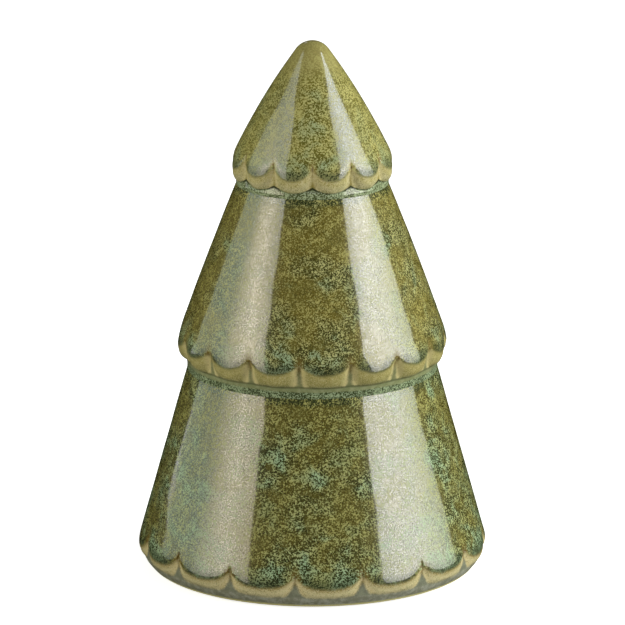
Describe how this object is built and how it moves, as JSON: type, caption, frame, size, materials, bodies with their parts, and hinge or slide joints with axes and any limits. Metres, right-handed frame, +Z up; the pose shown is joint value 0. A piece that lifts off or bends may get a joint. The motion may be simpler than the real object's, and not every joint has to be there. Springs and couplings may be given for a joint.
{
  "type": "christmas tree figurine",
  "caption": "Free-standing stoneware Christmas tree ornament: hollow scalloped tiers stacked on collars, a vented slab in the foot and felt pads to stand on.",
  "frame": {"origin": "on the surface that the tree stands on, under the tree's axis", "axes": "+Z up along the tree's axis, and -Y towards the side that the picture shows"},
  "size_m": [0.105, 0.105, 0.1601],
  "materials": {
    "glaze": "glossy reactive glaze, olive green mottled with sage, ochre where it breaks over the rims",
    "bare_stoneware": "unglazed, fired buff stoneware",
    "felt": "dense die-cut felt"
  },
  "bodies": {
    "root": {"top_tier": "glaze", "middle_tier": "glaze", "bottom_tier": "glaze", "base_slab": "bare_stoneware", "felt_pad_1": "felt", "felt_pad_2": "felt", "felt_pad_3": "felt", "felt_pad_4": "felt"}
  },
  "joints": []
}
